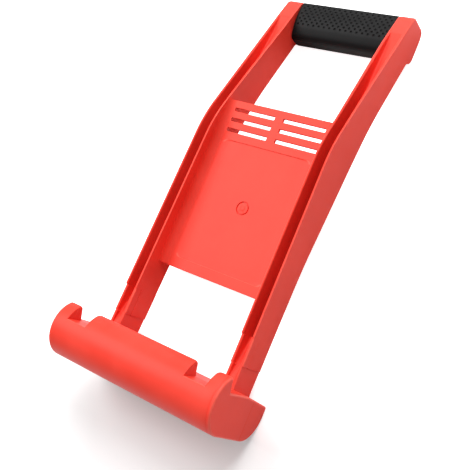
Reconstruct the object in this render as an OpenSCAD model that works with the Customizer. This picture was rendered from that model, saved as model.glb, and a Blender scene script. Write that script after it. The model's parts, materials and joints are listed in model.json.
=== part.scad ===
// Panel carrier: two channel rails, a slotted centre plate, a hook for the panel's lower edge and a grip.
// Lengths are millimetres. Outlines are drawn from the side: first along the carrier, then up from the panel.
// The panel's face lies on the rails at height zero, and its lower edge stands in the hook at length zero.

/* [Rails] */
// Distance from the hook's end to the rail's outer face at the panel's lower edge
rail_set = 14.8; // [12:0.2:18]
// Width of a rail at the panel's lower edge
rail_w = 12.2; // [10:0.2:15]
// How far a rail's outer face draws in up to the bend
bend_draw = 2.4; // [1:0.1:3.5]
// How far a rail's inner face draws in up to the plate's upper edge
plate_draw = 2.5; // [1:0.1:3.5]
// How much further the inner face draws in up to the head
head_draw = 3.2; // [2:0.1:4.5]
// Thickness of the two walls of a channel
rail_wall = 2.6; // [2:0.1:4]
// Thickness of the web behind a channel
rail_web = 3; // [2:0.1:5]
// Depth of a rail at the panel's lower edge
foot_depth = 31.2; // [29:0.2:34]
// Angle that the front edge leans back below its bend
front_rake = 1.9; // [1:0.1:3]
// Angle that the front edge leans back above its bend
front_lean = 20.3; // [18:0.1:22]
// Length from the panel's lower edge to the bend in the front edge
bend_at = 199.5; // [190:0.5:208]
// Radius of the bend in the front edge
bend_r = 100; // [60:1:130]
// Angle that the back edge leans back below its first bend
back_rake = 2.9; // [2:0.1:4]
// Angle that the back edge leans back between its bends
back_mid_lean = 8.5; // [7:0.1:10]
// Angle that the back edge leans back above its second bend
back_lean = 16.7; // [15:0.1:18]
// Length from the panel's lower edge to the first bend in the back edge
low_bend_at = 103; // [90:1:115]
// Radius of the first bend in the back edge
low_bend_r = 400; // [300:10:500]
// Length from the panel's lower edge to the second bend in the back edge
high_bend_at = 237; // [225:1:250]
// Radius of the second bend in the back edge
high_bend_r = 250; // [150:10:350]

/* [Heads] */
// Length from the panel's lower edge to the top of the heads
head_top = 342; // [336:0.5:352]
// Length of the thickened back of a head
head_h = 35; // [33:0.5:40]
// How far the heel of a head stands out behind its rail, and the radius of the heel
heel_r = 7.4; // [5:0.1:9]
// Radius of the head's upper back corner
head_corner_r = 9; // [6:0.5:12]
// Radius of the head's upper front corner
head_nose_r = 8; // [3:0.5:10]
// Length from the panel's lower edge to the upper end of a channel
channel_top = 316; // [310:1:322]
// Length over which a channel's floor climbs to the head
channel_ramp = 102; // [90:1:110]

/* [Feet] */
// Length from the panel's lower edge to the step in the channel walls
lap_top = 40.5; // [36:0.5:50]
// Length from the panel's lower edge to the square end of a rail
lap_foot = 17.5; // [14:0.5:24]
// Depth of the part of a foot that laps over the rail
lap_t = 10; // [8:0.5:13]
// Depth of the channel where it goes on in a foot
foot_channel = 5.5; // [3:0.5:6]
// Length from the panel's lower edge to the lower end of a foot's channel
foot_channel_end = 3; // [2:0.5:8]
// How far a foot's front stands in from the rail's
foot_step = 1; // [0.4:0.1:1.6]
// How far a foot's sides stand in from the rail's
foot_side_step = 0.3; // [0.2:0.1:1]

/* [Centre plate] */
// Length from the panel's lower edge to the plate
plate_from = 68.5; // [60:0.5:80]
// Length of the plate
plate_len = 154; // [145:1:165]
// Thickness of the plate
plate_t = 3; // [2:0.1:4]
// Depth from the panel's face to the plate's face
plate_set = 20.8; // [18:0.2:24]
// Radius of the fillets between plate and rails
plate_fillet = 6; // [2:0.5:8]
// Number of slots in a column
slot_rows = 3; // [2:1:4]
// Distance from a rail's inner face to a slot
slot_edge = 6.4; // [6:0.1:10]
// Width of a slot
slot_w = 3.4; // [2.5:0.1:5]
// Distance from one slot to the next
slot_pitch = 9.35; // [7:0.05:11]
// Distance from the plate's upper edge to the middle of the first slot
slot_from = 8; // [6:0.5:14]
// Width of the bar between the two columns of slots
slot_bar = 8.2; // [5:0.1:10]
// Distance from a rail's inner face to the shallow recess in the plate's face
recess_edge = 6.5; // [6:0.1:12]
// Length of the recess
recess_len = 109; // [95:1:112]
// Distance from the plate's lower edge to the recess
recess_from = 9.5; // [6:0.5:14]
// Depth of the recess
recess_depth = 0.8; // [0.4:0.1:1.2]
// Radius of the recess's corners
recess_r = 5; // [2:0.5:8]
// Radius of the round gate mark
gate_r = 6; // [3:0.1:8]
// Width of the ring round the gate mark
gate_ring = 0.8; // [0.4:0.1:1.5]
// Depth of that ring
gate_depth = 0.6; // [0.2:0.1:1]
// Distance from the plate's lower edge to the middle of the gate mark
gate_from = 65.5; // [50:0.5:80]

/* [Hook] */
// Width of the hook over its ends
hook_w = 162; // [150:1:180]
// Room for the panel between the rails and the foot of the lip
panel_gap = 28.5; // [24:0.5:34]
// How far the lip rises over the panel's lower edge
lip_rise = 11; // [9:0.5:14]
// How far the inside of the lip leans away from the panel
lip_draft = 4; // [2:0.5:6]
// Thickness of the lip's edge
lip_edge = 2; // [1:0.1:3]
// How far the round of the hook would rise over the lip's edge
lip_crown = 3; // [1.5:0.1:5]
// Depth of the hook below the panel's lower edge
hook_drop = 32.5; // [28:0.5:38]
// How much lower the hook's bottom is at the back
bottom_fall = 1.5; // [0.5:0.1:3]
// Depth from the panel's face to the back of the hook
hook_back = 36.3; // [35:0.1:42]
// How far the seat falls behind the panel
seat_fall = 5; // [2:0.5:8]
// Radius of the hook's lower back corner
hook_back_r = 22; // [14:0.5:24]
// Thickness of the hook's hollow walls
hook_wall = 3; // [2:0.1:4]
// Thickness of the ribs inside the hook
rib_t = 2.8; // [2:0.1:4]
// Number of spaces into which ribs divide the hook between the rails
rib_bays = 3; // [3:1:5]
// Thickness of the hook's flat ends
end_t = 3; // [2:0.1:5]
// Depth from the panel's face to the parting step in each flat end
end_step_set = 11.3; // [8:0.1:14]
// Depth of that step
end_step = 0.5; // [0.3:0.1:1]
// Width of a notch in the lip
notch_w = 19.3; // [14:0.1:24]
// Distance from the hook's end to a notch
notch_from = 12.4; // [8:0.1:16]
// Depth of a notch
notch_depth = 10.5; // [7:0.5:10.5]

/* [Grip] */
// Size of the grip along the carrier
grip_h = 36; // [32:0.5:36]
// Size of the grip from front to back
grip_d = 26; // [22:0.5:28]
// Radius of the grip's edges
grip_r = 9.5; // [7:0.5:10]
// How far the grip stands in from the top and back of the heads
grip_inset = 0.5; // [0.2:0.1:1]
// Thickness of the soft sleeve
sleeve_t = 3.5; // [2:0.1:5]
// Clearance between the sleeve and the pieces that it touches
sleeve_gap = 0.1; // [0.05:0.05:0.3]

/* [Hidden] */
$fn = 64;
red = "#e8382f";
black = "#2c2c2d";
left = -1;
right = 1;
// Length by which every cut runs past the face that it opens
overrun = 1;
// Number of straight pieces in the climbing floor of a channel
ramp_steps = 16;
// Fineness of the long bends in the rails' edges
long_fn = 720;
// Power that shapes the climb of a channel's floor
ramp_power = 1.5;

span_foot = hook_w - 2 * rail_set;
span_bend = span_foot - 2 * bend_draw;
gap_foot = span_foot - 2 * rail_w;
gap_plate = gap_foot - 2 * plate_draw;
gap_head = gap_plate - 2 * head_draw;
slot_len = (gap_plate - slot_bar) / 2 - slot_edge;
recess_w = gap_plate - 2 * recess_edge;
plate_end = plate_from + plate_len;
neck = head_top - head_h;
head_back = heel_r - back_at(neck);
seat_slope = seat_fall / hook_back;
lip_h = panel_gap + lip_draft + lip_edge;
hook_r = (hook_drop + lip_rise + lip_crown) / 2;
hook_c = [hook_r - hook_drop, lip_h - sqrt(pow(hook_r, 2) - pow(hook_r - lip_crown, 2))];
hook_back_c = [hook_back_r - hook_drop - bottom_fall, hook_back_r - hook_back];
hollow_top = -hook_wall;
grip_c = [head_top - grip_inset - grip_h / 2, grip_inset + grip_d / 2 - head_back];

// The carrier lies on the hook's lower back corner and the heels of its heads.
heel_c = [neck + heel_r, heel_r - head_back];
crown_c = [head_top - head_corner_r, head_corner_r - head_back];
lay_run = heel_c - hook_back_c;
lay_tilt = atan2(-lay_run.y, lay_run.x) - asin((hook_back_r - heel_r) / norm(lay_run));
lay_z = hook_back_r - hook_back_c.x * sin(lay_tilt) - hook_back_c.y * cos(lay_tilt);
lay_front = hook_c.x * cos(lay_tilt) - hook_c.y * sin(lay_tilt) - hook_r;
lay_end = crown_c.x * cos(lay_tilt) - crown_c.y * sin(lay_tilt) + head_corner_r;
lay_y = -(lay_front + lay_end) / 2;

// Height of the seat's surface, of a rail's front edge and of its back edge, each without its round bends.
function seat_at(h) = min(h, 0) * seat_slope;
function front_at(l) = -min(l, bend_at) * tan(front_rake) - max(l - bend_at, 0) * tan(front_lean);
function back_at(l) =
    -foot_depth - min(l, low_bend_at) * tan(back_rake)
    - max(min(l, high_bend_at) - low_bend_at, 0) * tan(back_mid_lean)
    - max(l - high_bend_at, 0) * tan(back_lean);

// Distance from the middle of the carrier to a rail's outer face, and along the plate to its inner face.
function outer_at(l) = (span_foot - (span_foot - span_bend) * min(l / bend_at, 1)) / 2;
function inner_at(l) = (gap_foot - (gap_foot - gap_plate) * l / plate_end) / 2;

// Lays the carrier on its back, with the middle of its footprint at the origin.
module lay() {
    translate([0, lay_y, lay_z])
        rotate([lay_tilt, 0, 0])
            children();
}

// Turns a side outline into a solid of the given width, centred across the carrier.
module across(width) {
    rotate([90, 0, 90])
        linear_extrude(width, center = true)
            children();
}

// Quarter of a disc that fills a rounded corner, on the given side of its centre.
module quarter(c, r, towards) {
    side = r + overrun;
    translate(c)
        intersection() {
            circle(r);
            translate([min(0, towards.x * side), min(0, towards.y * side)])
                square(side);
        }
}

// Half of a disc, on the side of its centre that faces away from the carrier.
module half_disc(c, r) {
    side = r + overrun;
    translate(c)
        intersection() {
            circle(r);
            translate([-side, 0])
                square([2 * side, side]);
        }
}

// What lies between the sharp corner of an outline, which leans back by one angle and then by another,
// and the arc that rounds it. Its tip runs past the corner.
module bend_corner(corner, lean, next_lean, r) {
    reach = r * tan((next_lean - lean) / 2);
    start = corner - reach * [cos(lean), -sin(lean)];
    end = corner + reach * [cos(next_lean), -sin(next_lean)];
    centre = start - r * [sin(lean), cos(lean)];
    tip = corner + overrun * (corner - centre) / norm(corner - centre);
    difference() {
        polygon([start, tip, end]);
        translate(centre)
            circle(r, $fn = long_fn);
    }
}

// Side outline of a rail with its head and its foot.
module rail_outline() {
    low_bend = [low_bend_at, back_at(low_bend_at)];
    high_bend = [high_bend_at, back_at(high_bend_at)];
    front_bend = [bend_at, front_at(bend_at)];
    nose = [head_top, front_at(head_top)];
    crown = [head_top, -head_back];
    heel = [neck, -head_back];
    foot = -foot_depth * [seat_slope, 1];
    difference() {
        union() {
            polygon([
                [0, 0], front_bend, nose, crown, heel, [neck, back_at(neck)], high_bend, low_bend, foot
            ]);
            bend_corner(low_bend, back_rake, back_mid_lean, low_bend_r);
            bend_corner(high_bend, back_mid_lean, back_lean, high_bend_r);
        }
        bend_corner(front_bend, front_rake, front_lean, bend_r);
        bend_corner(nose, front_lean, 90, head_nose_r);
        bend_corner(crown, 90, 180, head_corner_r);
        bend_corner(heel, 180, 270, heel_r);
    }
}

// The stretch of a side outline that one rail takes, seen from the front and drawn in by a margin.
module rail_side(side, margin) {
    low = -seat_fall - overrun;
    high = head_top + overrun;
    head_x = gap_head / 2 + margin;
    bend_x = span_bend / 2 - margin;
    intersection() {
        across(span_foot + 2 * overrun)
            children();
        mirror([side == left ? 1 : 0, 0, 0])
            translate([0, 0, -head_back - overrun])
                linear_extrude(head_back + 2 * overrun)
                    polygon([
                        [inner_at(low) + margin, low], [outer_at(low) - margin, low],
                        [bend_x, bend_at], [bend_x, high],
                        [head_x, high], [head_x, neck], [inner_at(plate_end) + margin, plate_end]
                    ]);
    }
}

// Part of a rail's side outline that belongs to the foot: it laps over the front of the rail's end.
// Its front stands over the rail's front edge by a margin.
module foot_region(margin) {
    low = -seat_fall - overrun;
    polygon([
        [low, -hook_back], [lap_foot, -hook_back], [lap_foot, -lap_t], [lap_top, -lap_t],
        [lap_top, front_at(lap_top) + margin], [low, front_at(low) + margin]
    ]);
}

// Side outline of a rail's channel, from its square end to the head.
module channel_outline() {
    ramp_from = channel_top - channel_ramp;
    floor_depth = front_at(ramp_from) - back_at(ramp_from) - rail_web;
    low = lap_foot - overrun;
    floor_points = [for (l = [low, low_bend_at, ramp_from]) [l, back_at(l) + rail_web]];
    ramp_points = [for (i = [1 : ramp_steps])
        let (t = i / ramp_steps, l = ramp_from + channel_ramp * t)
            [l, front_at(l) - floor_depth * pow(1 - t, ramp_power)]];
    polygon(concat([[low, overrun]], floor_points, ramp_points, [[channel_top, overrun]]));
}

// Side outline of the shallow channel in a foot.
module foot_channel_outline() {
    start = [foot_channel_end, front_at(foot_channel_end) - foot_step];
    end = [lap_top, front_at(lap_top) - foot_channel];
    step = overrun * (end - start) / (end.x - start.x);
    polygon([start - step, end + step, [lap_top + overrun, overrun], [start.x - overrun, overrun]]);
}

// Rounded section that the grip and its core share, grown or shrunk by a margin.
module grip_section(margin) {
    r = grip_r + margin;
    reach = [grip_h / 2 - grip_r, grip_d / 2 - grip_r];
    translate(grip_c) {
        square([grip_h + 2 * margin, 2 * reach.y], center = true);
        square([2 * reach.x, grip_d + 2 * margin], center = true);
        for (sx = [left, right], sy = [left, right])
            translate([sx * reach.x, sy * reach.y])
                circle(r);
    }
}

module rail(side) {
    color(red)
        lay()
            difference() {
                rail_side(side, 0)
                    difference() {
                        rail_outline();
                        foot_region(overrun);
                    }
                rail_side(side, rail_wall)
                    channel_outline();
            }
}

module rail_foot(side) {
    color(red)
        lay()
            difference() {
                rail_side(side, foot_side_step)
                    intersection() {
                        rail_outline();
                        foot_region(-foot_step);
                    }
                rail_side(side, rail_wall)
                    foot_channel_outline();
            }
}

// Fillet along one side of the plate, with its corner at the origin.
module plate_side_fillet() {
    difference() {
        square(plate_fillet);
        translate([plate_fillet, plate_fillet])
            circle(plate_fillet);
    }
}

module slots() {
    for (side = [left, right], row = [0 : slot_rows - 1])
        translate([
            side * (slot_bar + slot_len) / 2,
            plate_end - slot_from - row * slot_pitch,
            -plate_set - plate_t / 2
        ])
            cube([slot_len, slot_w, plate_t + 2 * overrun], center = true);
}

module recess() {
    inset = [recess_w / 2 - recess_r, recess_len / 2 - recess_r];
    translate([0, plate_from + recess_from + recess_len / 2, -plate_set - recess_depth])
        linear_extrude(recess_depth + overrun) {
            square([recess_w, 2 * inset.y], center = true);
            square([2 * inset.x, recess_len], center = true);
            for (sx = [left, right], sy = [left, right])
                translate([sx * inset.x, sy * inset.y])
                    circle(recess_r);
        }
}

module gate_mark() {
    translate([0, plate_from + gate_from, -plate_set - recess_depth - gate_depth])
        linear_extrude(gate_depth + overrun)
            difference() {
                circle(gate_r);
                circle(gate_r - gate_ring);
            }
}

module centre_plate() {
    lean = atan2(inner_at(plate_from) - inner_at(plate_end), plate_len);
    color(red)
        lay() {
            difference() {
                translate([0, 0, -plate_set - plate_t])
                    linear_extrude(plate_t)
                        polygon([
                            [-inner_at(plate_from), plate_from], [inner_at(plate_from), plate_from],
                            [inner_at(plate_end), plate_end], [-inner_at(plate_end), plate_end]
                        ]);
                slots();
                recess();
                gate_mark();
            }
            for (turn = [0, 1])
                mirror([turn, 0, 0])
                    translate([-inner_at(plate_end), plate_end, -plate_set])
                        rotate([90, 0, -lean])
                            linear_extrude(plate_len)
                                plate_side_fillet();
        }
}

// Outline of the hook's outer form, drawn in by a margin, before the panel's gap is cut out of it.
module hook_form(margin) {
    front_r = hook_r - margin;
    back_r = hook_back_r - margin;
    back = hook_back_c.y - back_r;
    half_disc(hook_c, front_r);
    quarter(hook_back_c, back_r, [left, left]);
    polygon([
        [hook_c.x - front_r, hook_c.y],
        [hook_back_c.x - back_r, hook_back_c.y],
        hook_back_c,
        [hook_back_c.x, back],
        [lip_rise, back],
        [lip_rise, hook_c.y]
    ]);
}

// Side outline of the whole hook: lip, round front, bottom, lower back corner and seat.
module hook_outline() {
    back = -hook_back - overrun;
    above = lip_rise + lip_crown + overrun;
    before = hook_c.y + hook_r + overrun;
    difference() {
        hook_form(0);
        polygon([
            [seat_at(back), back],
            [0, 0],
            [0, panel_gap],
            [lip_rise, panel_gap + lip_draft],
            [lip_rise, before],
            [above, before],
            [above, back]
        ]);
    }
}

// Keeps what lies one wall below the seat.
module under_seat() {
    back = -hook_back - 2 * overrun;
    above = lip_rise + lip_crown + overrun;
    before = hook_c.y + hook_r + overrun;
    difference() {
        union()
            children();
        polygon([
            [seat_at(back) + hollow_top, back],
            [hollow_top, 0],
            [hollow_top, before],
            [above, before],
            [above, back]
        ]);
    }
}

// Side outline of a rib: the hook's form, drawn in by one wall.
module rib_outline() {
    under_seat()
        hook_form(hook_wall);
}

// Side outline of the hook's cavity, which is open at the back from where the bottom ends.
module cavity_outline() {
    low = -hook_drop - bottom_fall - overrun;
    back = -hook_back - overrun;
    under_seat() {
        hook_form(hook_wall);
        translate([low, back])
            square([lip_rise - low, hook_back_c.y - back]);
    }
}

module notches() {
    for (side = [left, right])
        translate([side * (hook_w / 2 - notch_from - notch_w / 2), 0, 0])
            across(notch_w)
                translate([lip_rise - notch_depth, 0])
                    square([notch_depth + overrun, hook_c.y + hook_r + overrun]);
}

module hook_shell() {
    color(red)
        lay()
            difference() {
                across(hook_w - 2 * end_t)
                    difference() {
                        hook_outline();
                        cavity_outline();
                    }
                notches();
            }
}

// Ribs inside the hook: one under each wall of the two rails, and the ones between the rails.
module hook_ribs() {
    wall_x = [outer_at(0) - rail_wall / 2, inner_at(0) + rail_wall / 2];
    bay = gap_foot / rib_bays;
    color(red)
        lay() {
            for (side = [left, right], x = wall_x)
                translate([side * x, 0, 0])
                    across(rib_t)
                        rib_outline();
            for (i = [1 : rib_bays - 1])
                translate([i * bay - gap_foot / 2, 0, 0])
                    across(rib_t)
                        rib_outline();
        }
}

module hook_end(side) {
    color(red)
        lay()
            translate([side * (hook_w - end_t) / 2, 0, 0])
                difference() {
                    across(end_t)
                        hook_outline();
                    translate([side * end_t / 2, 0, 0])
                        across(2 * end_step)
                            translate([-hook_drop - bottom_fall - overrun, -hook_back - overrun])
                                square([hook_drop + bottom_fall + 2 * overrun, hook_back - end_step_set + overrun]);
                }
}

module handle_core() {
    color(red)
        lay()
            across(gap_head)
                grip_section(-sleeve_t - sleeve_gap);
}

module grip_sleeve() {
    color(black)
        lay()
            across(gap_head - 2 * sleeve_gap)
                difference() {
                    grip_section(0);
                    grip_section(-sleeve_t);
                }
}

rail(left);  // left_rail
rail(right);  // right_rail
rail_foot(left);  // left_rail_foot
rail_foot(right);  // right_rail_foot
centre_plate();
hook_shell();
hook_ribs();
hook_end(left);  // left_hook_end
hook_end(right);  // right_hook_end
handle_core();
grip_sleeve();
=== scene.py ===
"""Dresses the panel carrier: soft-edged rails, feet, plate and hook, a dimpled grip, finishes and a stage."""
import json
from math import acos, atan2, cos, degrees, radians, sin, sqrt, tan

import bmesh
import bpy
from bpy.props import FloatProperty, FloatVectorProperty, IntProperty, PointerProperty
from mathutils import Matrix, Vector


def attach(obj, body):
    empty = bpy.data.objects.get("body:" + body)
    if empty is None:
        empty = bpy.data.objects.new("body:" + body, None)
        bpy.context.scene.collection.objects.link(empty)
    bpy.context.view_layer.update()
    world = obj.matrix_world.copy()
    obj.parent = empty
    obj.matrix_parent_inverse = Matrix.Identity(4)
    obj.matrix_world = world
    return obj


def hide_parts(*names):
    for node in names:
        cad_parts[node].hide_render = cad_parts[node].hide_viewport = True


bl_info = {
    "name": "Panel carrier",
    "version": (1, 0, 0),
    "blender": (4, 5, 0),
    "location": "View3D > Sidebar > Panel carrier",
    "description": "Builds the visible pieces of a moulded panel carrier round its CAD frame",
    "category": "Object",
}

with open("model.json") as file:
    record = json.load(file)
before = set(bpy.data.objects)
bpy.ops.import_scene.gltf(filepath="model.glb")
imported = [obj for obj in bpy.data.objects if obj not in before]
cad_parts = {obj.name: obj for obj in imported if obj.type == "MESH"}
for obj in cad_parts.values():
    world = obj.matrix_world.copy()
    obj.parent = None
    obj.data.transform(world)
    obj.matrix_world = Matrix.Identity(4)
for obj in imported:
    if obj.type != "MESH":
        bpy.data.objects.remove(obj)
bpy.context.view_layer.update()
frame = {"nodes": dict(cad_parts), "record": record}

MM = 0.001
LEFT, RIGHT = -1, 1
SIDES = ((LEFT, "left"), (RIGHT, "right"))

# Sizes in millimetres: x across the carrier, l along it from the hook's seat, h up from the panel's face.

# Rails: where they bend, where their heads start and end, and their depth at the foot.
BEND_AT, NECK, HEAD_TOP, FOOT_DEPTH = 199.5, 307.0, 342.0, 31.2
# Each row holds where a rail's edge bends, the angle by which it leans back from there and the bend's radius.
FRONT_LINE = ((0.0, 1.9, 0.0), (BEND_AT, 20.3, 100.0))
BACK_LINE = ((0.0, 2.9, 0.0), (103.0, 8.5, 400.0), (237.0, 16.7, 250.0))
# Half spans over the outer and inner faces at the foot, and how much they draw in on the way up.
OUTER_HALF, OUTER_DRAW = 66.2, 2.4
INNER_HALF, PLATE_DRAW, HAND_GAP_DRAW = 54.0, 2.5, 3.2
# Rounds of a head: its heel, the fillet below that, the crown and the nose.
HEEL_R, HEEL_FILLET_R, CROWN_R, NOSE_R = 7.4, 5.0, 9.0, 8.0
# Rounding of the rails' back edges and of the heads and feet.
EDGE_R = 1.3

# Channels: their walls beside the plate and above it, the run between these, and the web behind the floor.
LOW_WALL, HIGH_WALL, WALL_RUN, WEB = 1.9, 2.6, 40.0, 3.0
# Where a channel's floor starts to climb and where it reaches the front, with its depth on the way there.
CHANNEL_FROM, CHANNEL_TOP = 214.0, 321.0
CHANNEL_DEPTHS = ((238.0, 25.0), (262.0, 15.0), (288.0, 9.0), (306.0, 5.6), (315.0, 2.6), (CHANNEL_TOP, 0.0))
# The most that a round in a shallow channel takes of its depth.
ROUND_SHARE = 0.45

# The lap, where a rail's low end lies under its foot: start, end, depth below the panel and edge radius.
LAP_FOOT, LAP_TOP, LAP_DEPTH, LAP_EDGE = 17.5, 40.5, 10.0, 0.1
# The chamfer across a rail's walls above the lap.
CHAMFER_RUN, CHAMFER_DROP = 0.9, 0.6
# Feet: their walls, the steps from the rails' fronts and sides to theirs, and their back edges' round.
FOOT_WALL, FOOT_STEP, FOOT_SIDE_STEP, FOOT_BACK_R = 2.6, 1.0, 0.3, 0.8
# A foot's channel: where it runs out, its depth at the lap's end, and how far down the tongue reaches.
FOOT_CHANNEL_END, FOOT_CHANNEL_DEPTH, FOOT_TONGUE = 3.0, 13.0, 17.0
# How far a foot's sides draw in below the lap, at the witness line and over the lap, and half that line.
FOOT_DRAW, WITNESS_DRAW, LAP_DRAW, WITNESS_HALF = 0.3, 0.6, -0.2, 0.5

# Where the sections of a foot stand, below the lap and over it.
FOOT_STATIONS = (1.5, FOOT_CHANNEL_END, 5.0, 9.0, LAP_FOOT - WITNESS_HALF)
LAP_STATIONS = (LAP_FOOT + WITNESS_HALF, 25.0, 33.0, LAP_TOP)
# Where those of a rail stand: runs with a start, an end and a number of steps, places on the head, and angles
# round its heel and crown.
RAIL_RUNS = (
    (LAP_TOP + CHAMFER_RUN, 86.0, 3), (92.0, 111.2, 4), (118.0, 180.0, 4), (184.0, CHANNEL_FROM, 10),
    (217.0, 254.0, 9), (260.0, 300.0, 7),
)
HEAD_STATIONS, HEEL_FILLET_STEPS = (320.0, CHANNEL_TOP, 327.0), 5
HEEL_ANGLES = (28, 38, 48, 60, 74, 90)
CROWN_ANGLES = (0, 12, 24, 34, 43, 51, 58, 65, 71, 77, 82, 86, 90)

# Hook: the end of its shell, its width over both ends, its drop, its depth to the back and its wall.
HOOK_END_X, HOOK_W, HOOK_DROP, HOOK_BACK, HOOK_WALL = 78.0, 162.0, 32.5, 36.3, 3.0
# How far the seat falls to the back, and its slope.
SEAT_FALL = 5.0
SEAT_SLOPE = SEAT_FALL / HOOK_BACK
# The gap for the panel, and the lip in front of it: its rise, draft, edge and crown.
PANEL_GAP, LIP_RISE, LIP_DRAFT, LIP_EDGE, LIP_CROWN = 28.5, 11.0, 4.0, 2.0, 3.0
# The hook's round front: its radius, and its centre by l and h.
HOOK_R = (HOOK_DROP + LIP_RISE + LIP_CROWN) / 2
LIP_H = PANEL_GAP + LIP_DRAFT + LIP_EDGE
HOOK_C = Vector((HOOK_R - HOOK_DROP, LIP_H - sqrt(HOOK_R**2 - (HOOK_R - LIP_CROWN) ** 2)))
# Where the bottom of the hook ends at the back, by l and h.
BOTTOM_END = (-34.0, -14.3)
# The sides of a notch, how its sill falls to the front, and the angle over which the lip's edge runs out.
NOTCH_X, SILL, LIP_FADE = (49.3, 68.6), (0.3, -1.4), 10.0
# Where sections stand beside a notch, as shares of the rounding of the lip's corners.
NOTCH_SHARES = (1.0, 0.75, 0.5, 0.32, 0.2, 0.1, 0.04, 0.0)
# The crease across a flat end, by its place, half width and depth, and the taper of the end behind it.
END_CREASE, CREASE_HALF, CREASE_DEPTH, END_TAPER = -10.4, 0.35, 0.8, 0.03
# The shallow groove where the right end meets the shell: its run on the shell and on the end, and its depth.
JOINT_RUN, JOINT_STEP, JOINT_DEPTH = 1.3, 0.35, 0.65
HOOK_EDGE_SEGMENTS, END_EDGE_SEGMENTS = 3, 4

# Plate: its lower end, where its plain field gives way to the slots, its upper end, and its heights.
PLATE_FROM, FIELD_TOP, PLATE_END = 68.5, 190.0, 222.5
PLATE_FACE, RECESS_FLOOR, PLATE_UNDER = -20.8, -21.6, -23.8
# Share of an edge's rounding that is left half way round it.
EDGE_SHARE = 0.3
# Recess: half its width, its ends and its corners, and the rings up its side. Each ring holds how far it lies
# outside that outline, how far its long sides are eased in again, and its height.
RECESS_HALF, RECESS_L, RECESS_R = 45.0, (78.0, 187.0), 5.0
RECESS_RINGS = (
    (-0.7, 7.3, RECESS_FLOOR), (-0.2, 5.2, RECESS_FLOOR + 0.12), (0.0, 2.9, PLATE_FACE - 0.3),
    (0.1, 1.4, PLATE_FACE - 0.1), (0.35, 0.0, PLATE_FACE),
)
# Gate mark: its place, radius and groove, and the rings from its stub out over the groove. Each ring holds
# its radius and how high it lies above the recess's floor.
GATE_L, GATE_R, GROOVE_DEPTH = 134.0, 6.0, 1.1
GATE_RINGS = (
    (1.3, 0.45), (2.0, 0.35), (2.6, 0.0), (GATE_R - 1.3, 0.0), (GATE_R - 1.1, -0.1),
    (GATE_R - 1.0, -GROOVE_DEPTH), (GATE_R - 0.1, -GROOVE_DEPTH), (GATE_R, -0.15), (GATE_R + 0.2, 0.0),
)
# Slots: rows, the first one's distance from the plate's end, pitch, width, length, corners and middle bar.
SLOT_ROWS, SLOT_FROM, SLOT_PITCH = 3, 8.0, 9.35
SLOT_W, SLOT_LEN, SLOT_R, SLOT_BAR = 3.4, 41.0, 0.7, 8.2
# Corner of a ring that is square to the eye.
SQUARE_R = 0.01

# Grip: its top, foot, half length and back, and the crest of its crowned front with its radius.
GRIP_TOP, GRIP_FOOT, GRIP_HALF, GRIP_BACK = 341.5, 305.5, 48.2, -84.05
GRIP_CREST_L, GRIP_CREST_H, GRIP_CREST_R = 326.0, -57.75, 44.5
# Rounds of its section at the upper front, lower front and back, and the angles where the front ones end.
GRIP_TOP_R, GRIP_LOW_R, GRIP_BACK_R, GRIP_TOP_TURN, GRIP_LOW_TURN = 4.0, 7.5, 9.0, 62, 115
# How far the upper round's centre lies behind the front, the lower one's height, and a point on the top.
GRIP_TOP_SINK, GRIP_LOW_H, GRIP_TOP_H = 3.6, -67.6, -69.5
GRIP_LOW_STEPS, GRIP_BACK_STEPS = 5, 6
# The dimples' field: its distance from the top, the plain front's steps below it, and the height behind it.
FIELD_DROP, PLAIN_STEP, PLAIN_STEPS, FIELD_BACK = 3.0, 2.6, 2, -66.0
# The plain band at each end of the grip, the width of a dimple's sloping side, and the levels of smoothing.
END_BAND, DIMPLE_SIDE, GRIP_LEVELS = 0.5, 0.25, 2

# Meshes: steps of an arc in a section, of a ring's corners and sides, and of the hook's long rounds.
ARC_STEPS, CORNER_STEPS, SIDE_STEPS = 4, 8, 10
LIP_FOOT_STEPS, LIP_FRONT_STEPS, HOOK_OUTER_STEPS, HOOK_INNER_STEPS = 4, 12, 24, 14
# Gaps within which points are merged, dissolved or left by a cut, and how near counts as on a face.
MERGE_GAP, DISSOLVE_GAP, END_MERGE_GAP, CUT_GAP, NEAR = 0.004, 0.002, 0.01, 0.001, 0.05
# Angles in degrees: what counts as flat and as an edge, and where shading breaks on plastic and on rubber.
FLAT_ANGLE, SHARP_ANGLE, PLASTIC_BREAK, RUBBER_BREAK = 0.4, 30.0, 40.0, 180.0
SHADING_WEIGHT = 80

# Finishes: the part of the flow noise that shows as marks and as sheen, and how the sheen swings with it.
FLOW_RANGE, SHEEN_RANGE, SHEEN_SWING = (0.40, 0.62), (0.3, 0.7), (-0.04, 0.05)
# How much smoother a highlighted edge is, the grain's depth in metres, and the coarse grain's scale and
# weight.
EDGE_POLISH, GRAIN_DEPTH, COARSE_SCALE, COARSE_WEIGHT = 0.08, 0.00012, 0.28, 0.6
# The level at which the patches of the painted edge highlight are cut off.
PATCH_TOP = 0.7
# Places of a colour mix node's sockets, whose names it repeats for other kinds of value.
MIX_SHARE, MIX_FIRST, MIX_SECOND, MIX_RESULT = 0, 6, 7, 2

# Stage, in metres: each light's name, place, target, width and power, and the light of the surroundings.
LIGHTS = (
    ("Key softbox", (0.25, 0.95, 1.35), (0.0, 0.0, 0.03), 0.9, 21.0),
    ("Side softbox", (-0.80, 0.02, 1.30), (0.0, 0.0, 0.03), 1.1, 20.0),
    ("Back strip", (-0.54, 1.35, 0.75), (0.0, 0.1, 0.05), 0.8, 6.0),
)
WHITE, SURROUND_LIGHT = (1.0, 1.0, 1.0, 1.0), 0.38
FLOOR_HALF, FLOOR_ROUGH = 4.0, 0.9
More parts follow.
